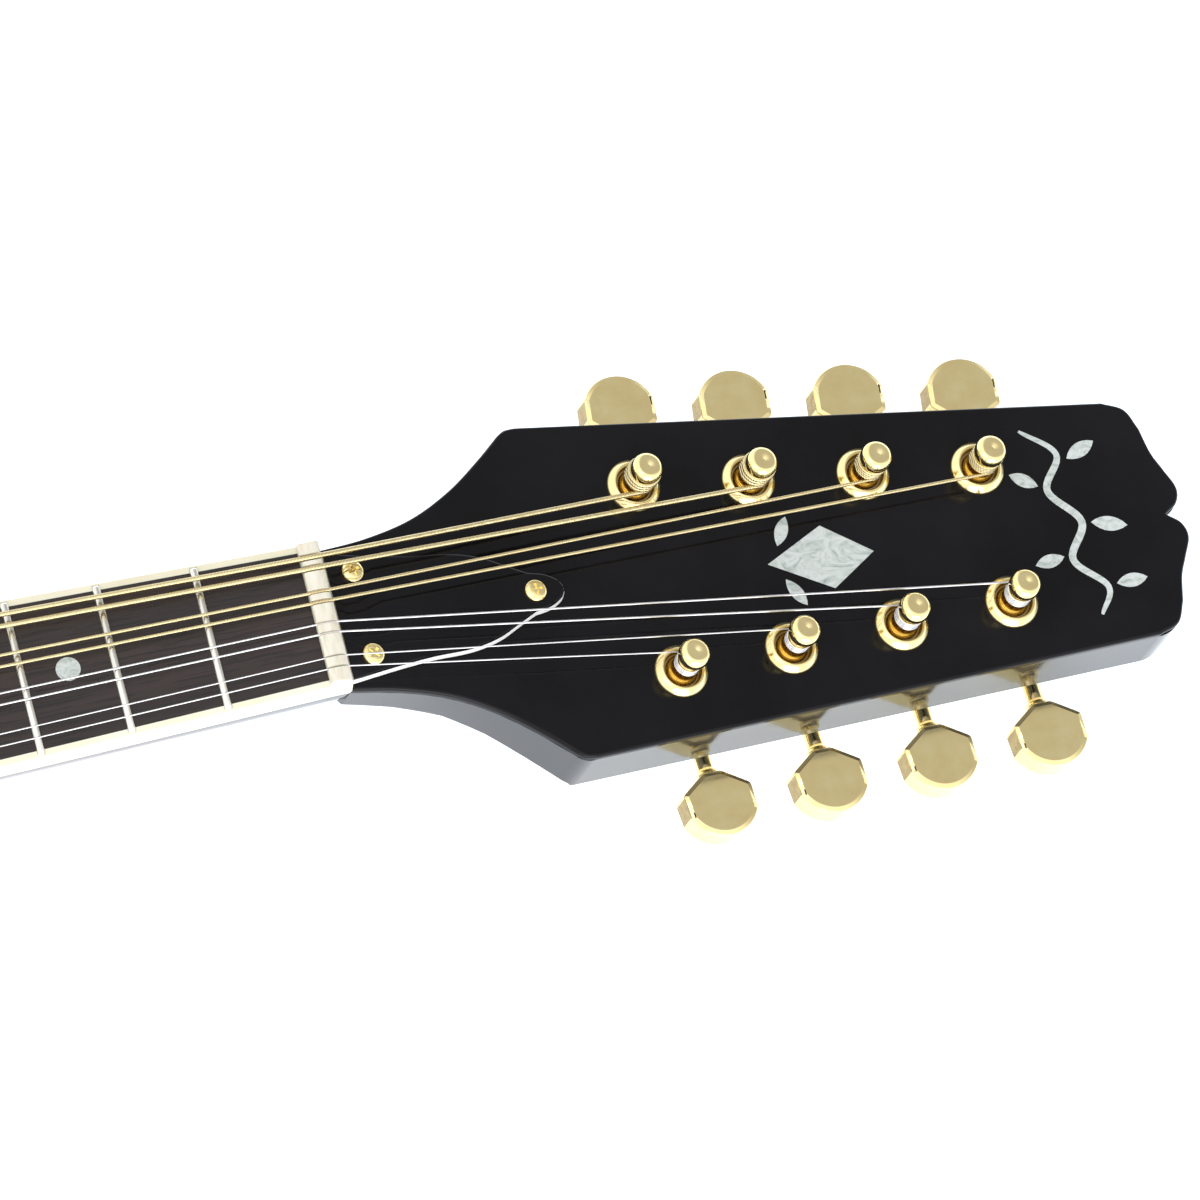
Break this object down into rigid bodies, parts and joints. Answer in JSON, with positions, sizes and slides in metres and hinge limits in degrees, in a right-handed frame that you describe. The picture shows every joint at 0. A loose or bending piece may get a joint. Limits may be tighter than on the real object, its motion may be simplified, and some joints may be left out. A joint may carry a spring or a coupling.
{
  "type": "mandolin",
  "caption": "Teardrop-bodied mandolin with a domed top, oval sound hole, paired strings, floating bridge and geared tuners, plucked to play.",
  "frame": {"origin": "on the flat back of the body, under the line where the strings cross the bridge", "axes": "+X from the tail to the headstock tip, +Y to the bass strings, +Z out of the top"},
  "size_m": [0.7063, 0.254, 0.0798],
  "materials": {
    "spruce": "amber to brown sunburst under gloss lacquer",
    "maple_sides": "dark brown stain under gloss lacquer",
    "mahogany": "dark brown stain under gloss lacquer",
    "inner_wood": "bare, sanded",
    "cream_binding": "cream, polished",
    "ring_inlay": "pearl and cream rings, polished",
    "black_face": "black lacquer, mirror gloss",
    "pearl": "iridescent shell, polished",
    "cover_plate": "black over white laminate, polished",
    "bone": "polished bone",
    "rosewood": "oiled rosewood",
    "ebony": "oiled ebony",
    "fret_wire": "crowned and polished nickel alloy",
    "gold": "gold plated, polished",
    "steel": "bare steel",
    "plain_wire": "tinned plain steel wire",
    "bronze_wire": "round-wound bronze"
  },
  "bodies": {
    "mandolin": {"top_plate": "spruce", "back_plate": "maple_sides", "body_sides": "maple_sides", "body_bindings": "cream_binding", "end_blocks": "inner_wood", "linings": "inner_wood", "braces": "inner_wood", "rosette": "ring_inlay", "neck": "mahogany", "heel_cap": "ebony", "headstock_veneer": "black_face", "headstock_inlays": "pearl", "truss_rod": "steel", "truss_rod_cover": "cover_plate", "truss_cover_screws": "gold", "nut": "bone", "fingerboard": "rosewood", "fingerboard_binding": "cream_binding", "frets": "fret_wire", "position_dots": "pearl", "bridge_base": "ebony", "bridge_studs": "gold", "tailpiece": "gold", "tailpiece_screws": "gold", "end_pin": "ebony", "wound_strings": "bronze_wire", "plain_strings": "plain_wire", "tuner_bushings": "gold", "tuner_plate_bass": "gold", "tuner_plate_treble": "gold", "tuner_mount_screws": "gold"},
    "saddle": {"bridge_saddle": "ebony"},
    "wheel_bass": {"bridge_wheel_bass": "gold"},
    "wheel_treble": {"bridge_wheel_treble": "gold"},
    "tail_cover": {"tailpiece_cover": "gold"},
    "rod_nut": {"truss_rod_nut": "gold"},
    "button_1": {"tuner_1_button": "gold"},
    "post_1": {"tuner_1_post": "gold", "tuner_1_wraps": "bronze_wire"},
    "button_2": {"tuner_2_button": "gold"},
    "post_2": {"tuner_2_post": "gold", "tuner_2_wraps": "bronze_wire"},
    "button_3": {"tuner_3_button": "gold"},
    "post_3": {"tuner_3_post": "gold", "tuner_3_wraps": "bronze_wire"},
    "button_4": {"tuner_4_button": "gold"},
    "post_4": {"tuner_4_post": "gold", "tuner_4_wraps": "bronze_wire"},
    "button_5": {"tuner_5_button": "gold"},
    "post_5": {"tuner_5_post": "gold", "tuner_5_wraps": "plain_wire"},
    "button_6": {"tuner_6_button": "gold"},
    "post_6": {"tuner_6_post": "gold", "tuner_6_wraps": "plain_wire"},
    "button_7": {"tuner_7_button": "gold"},
    "post_7": {"tuner_7_post": "gold", "tuner_7_wraps": "plain_wire"},
    "button_8": {"tuner_8_button": "gold"},
    "post_8": {"tuner_8_post": "gold", "tuner_8_wraps": "plain_wire"}
  },
  "joints": [
    {"name": "button_1_turn", "type": "hinge", "parent": "mandolin", "child": "button_1", "pos_m": [0.42034, 0.01844, 0.02637], "axis": [0.074, 0.9971, -0.0201], "continuous": true},
    {"name": "post_1_turn", "type": "hinge", "parent": "mandolin", "child": "post_1", "pos_m": [0.41935, 0.0189, 0.04555], "axis": [0.2622, 0, 0.965], "continuous": true},
    {"name": "button_2_turn", "type": "hinge", "parent": "mandolin", "child": "button_2", "pos_m": [0.44232, 0.01669, 0.0204], "axis": [0.074, 0.9971, -0.0201], "continuous": true},
    {"name": "post_2_turn", "type": "hinge", "parent": "mandolin", "child": "post_2", "pos_m": [0.44133, 0.01715, 0.03958], "axis": [0.2622, 0, 0.965], "continuous": true},
    {"name": "button_3_turn", "type": "hinge", "parent": "mandolin", "child": "button_3", "pos_m": [0.46431, 0.01493, 0.01443], "axis": [0.074, 0.9971, -0.0201], "continuous": true},
    {"name": "post_3_turn", "type": "hinge", "parent": "mandolin", "child": "post_3", "pos_m": [0.46332, 0.01539, 0.03361], "axis": [0.2622, 0, 0.965], "continuous": true},
    {"name": "button_4_turn", "type": "hinge", "parent": "mandolin", "child": "button_4", "pos_m": [0.48629, 0.01318, 0.00845], "axis": [0.074, 0.9971, -0.0201], "continuous": true},
    {"name": "post_4_turn", "type": "hinge", "parent": "mandolin", "child": "post_4", "pos_m": [0.4853, 0.01364, 0.02763], "axis": [0.2622, 0, 0.965], "continuous": true},
    {"name": "button_5_turn", "type": "hinge", "parent": "mandolin", "child": "button_5", "pos_m": [0.48629, -0.01318, 0.00845], "axis": [0.074, -0.9971, -0.0201], "continuous": true},
    {"name": "post_5_turn", "type": "hinge", "parent": "mandolin", "child": "post_5", "pos_m": [0.4853, -0.01364, 0.02763], "axis": [0.2622, 0, 0.965], "continuous": true},
    {"name": "button_6_turn", "type": "hinge", "parent": "mandolin", "child": "button_6", "pos_m": [0.46431, -0.01493, 0.01443], "axis": [0.074, -0.9971, -0.0201], "continuous": true},
    {"name": "post_6_turn", "type": "hinge", "parent": "mandolin", "child": "post_6", "pos_m": [0.46332, -0.01539, 0.03361], "axis": [0.2622, 0, 0.965], "continuous": true},
    {"name": "button_7_turn", "type": "hinge", "parent": "mandolin", "child": "button_7", "pos_m": [0.44232, -0.01669, 0.0204], "axis": [0.074, -0.9971, -0.0201], "continuous": true},
    {"name": "post_7_turn", "type": "hinge", "parent": "mandolin", "child": "post_7", "pos_m": [0.44133, -0.01715, 0.03958], "axis": [0.2622, 0, 0.965], "continuous": true},
    {"name": "button_8_turn", "type": "hinge", "parent": "mandolin", "child": "button_8", "pos_m": [0.42034, -0.01844, 0.02637], "axis": [0.074, -0.9971, -0.0201], "continuous": true},
    {"name": "post_8_turn", "type": "hinge", "parent": "mandolin", "child": "post_8", "pos_m": [0.41935, -0.0189, 0.04555], "axis": [0.2622, 0, 0.965], "continuous": true},
    {"name": "saddle_height", "type": "slide", "parent": "mandolin", "child": "saddle", "axis": [0, 0, 1], "range_m": [-0.0015, 0]},
    {"name": "wheel_bass_turn", "type": "hinge", "parent": "saddle", "child": "wheel_bass", "pos_m": [0, 0.025, 0.072], "axis": [0, 0, 1], "range_deg": [-771.5, 0]},
    {"name": "wheel_treble_turn", "type": "hinge", "parent": "saddle", "child": "wheel_treble", "pos_m": [0, -0.025, 0.072], "axis": [0, 0, 1], "range_deg": [-771.5, 0]},
    {"name": "tail_cover_slide", "type": "slide", "parent": "mandolin", "child": "tail_cover", "axis": [-1, 0, 0], "range_m": [0, 0.048]},
    {"name": "rod_nut_turn", "type": "hinge", "parent": "mandolin", "child": "rod_nut", "pos_m": [0.36407, 0, 0.05506], "axis": [0.9998, 0, -0.0209], "range_deg": [-180, 180]}
  ],
  "couplings": [
    {"joint": "post_1_turn", "follows": "button_1_turn", "ratio": -0.071429},
    {"joint": "post_2_turn", "follows": "button_2_turn", "ratio": -0.071429},
    {"joint": "post_3_turn", "follows": "button_3_turn", "ratio": -0.071429},
    {"joint": "post_4_turn", "follows": "button_4_turn", "ratio": -0.071429},
    {"joint": "post_5_turn", "follows": "button_5_turn", "ratio": -0.071429},
    {"joint": "post_6_turn", "follows": "button_6_turn", "ratio": -0.071429},
    {"joint": "post_7_turn", "follows": "button_7_turn", "ratio": -0.071429},
    {"joint": "post_8_turn", "follows": "button_8_turn", "ratio": -0.071429},
    {"joint": "wheel_bass_turn", "follows": "saddle_height", "rad_per_m": 8976},
    {"joint": "wheel_treble_turn", "follows": "saddle_height", "rad_per_m": 8976}
  ]
}
